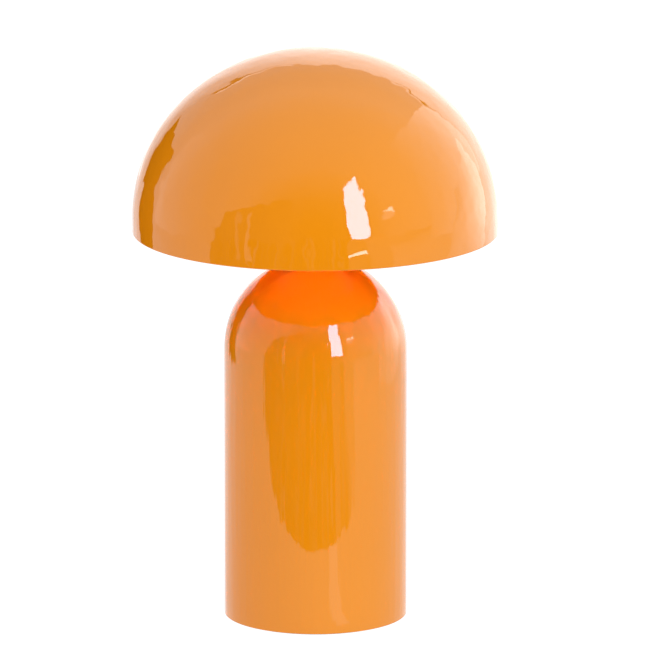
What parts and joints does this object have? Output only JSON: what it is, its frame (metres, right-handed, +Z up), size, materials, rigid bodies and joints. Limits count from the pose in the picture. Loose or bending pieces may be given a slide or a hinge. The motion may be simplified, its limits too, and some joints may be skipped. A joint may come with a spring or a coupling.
{
  "type": "table lamp",
  "caption": "Mushroom table lamp: glossy orange dome shade that lifts off a hidden carrier on a round-topped cylindrical base, with a screw-in bulb.",
  "frame": {"origin": "centre of the felt foot's underside, on the surface that the lamp stands on", "axes": "+Z up along the lamp's axis, +Y to the back where the supply lead enters, -Y to the front, +X to the right seen from the front"},
  "size_m": [0.28, 0.28, 0.443],
  "materials": {
    "orange_lacquer": "gloss lacquer",
    "nickel_plate": "satin nickel",
    "zinc_steel": "zinc plated",
    "iron_casting": "rough cast",
    "dark_felt": "pressed felt",
    "black_rubber": "moulded",
    "white_nylon": "moulded",
    "black_holder": "moulded",
    "white_ceramic": "unglazed",
    "brass": "drawn",
    "solder": "dull solder",
    "black_glass": "vitreous",
    "bulb_cap_metal": "rolled",
    "clear_glass": "clear",
    "yellow_phosphor": "coated",
    "wire": "drawn"
  },
  "bodies": {
    "base": {"base_shell": "orange_lacquer", "cord_grommet": "black_rubber", "shell_tabs": "zinc_steel", "base_plate": "zinc_steel", "plate_screws": "zinc_steel", "ballast_disc": "iron_casting", "ballast_screws": "zinc_steel", "felt_pad": "dark_felt", "threaded_nipple": "nickel_plate", "spread_washer": "zinc_steel", "lock_nut": "zinc_steel", "neck_collar": "orange_lacquer", "shade_carrier": "orange_lacquer", "carrier_buttons": "white_nylon", "holder_cap": "black_holder", "grub_screw": "zinc_steel", "contact_block": "white_ceramic", "terminal_screws": "zinc_steel", "centre_contact": "brass", "screw_shell": "brass", "holder_skirt": "black_holder"},
    "shade": {"shade": "orange_lacquer", "shade_lugs": "orange_lacquer"},
    "bulb_tip": {"bulb_contact": "solder", "bulb_insulator": "black_glass"},
    "bulb": {"bulb_cap": "bulb_cap_metal", "bulb_glass": "clear_glass", "bulb_stem": "clear_glass", "led_filaments": "yellow_phosphor", "filament_wires": "wire"}
  },
  "joints": [
    {"name": "shade_lift", "type": "slide", "parent": "base", "child": "shade", "axis": [0, 0, 1], "range_m": [0, 0.15]},
    {"name": "bulb_rise", "type": "slide", "parent": "base", "child": "bulb_tip", "axis": [0, 0, 1], "range_m": [0, 0.0182]},
    {"name": "bulb_turn", "type": "hinge", "parent": "bulb_tip", "child": "bulb", "pos_m": [0, 0, 0.36], "axis": [0, 0, 1], "range_deg": [0, 1800]}
  ],
  "couplings": [
    {"joint": "bulb_rise", "follows": "bulb_turn", "m_per_rad": 0.0005775}
  ]
}
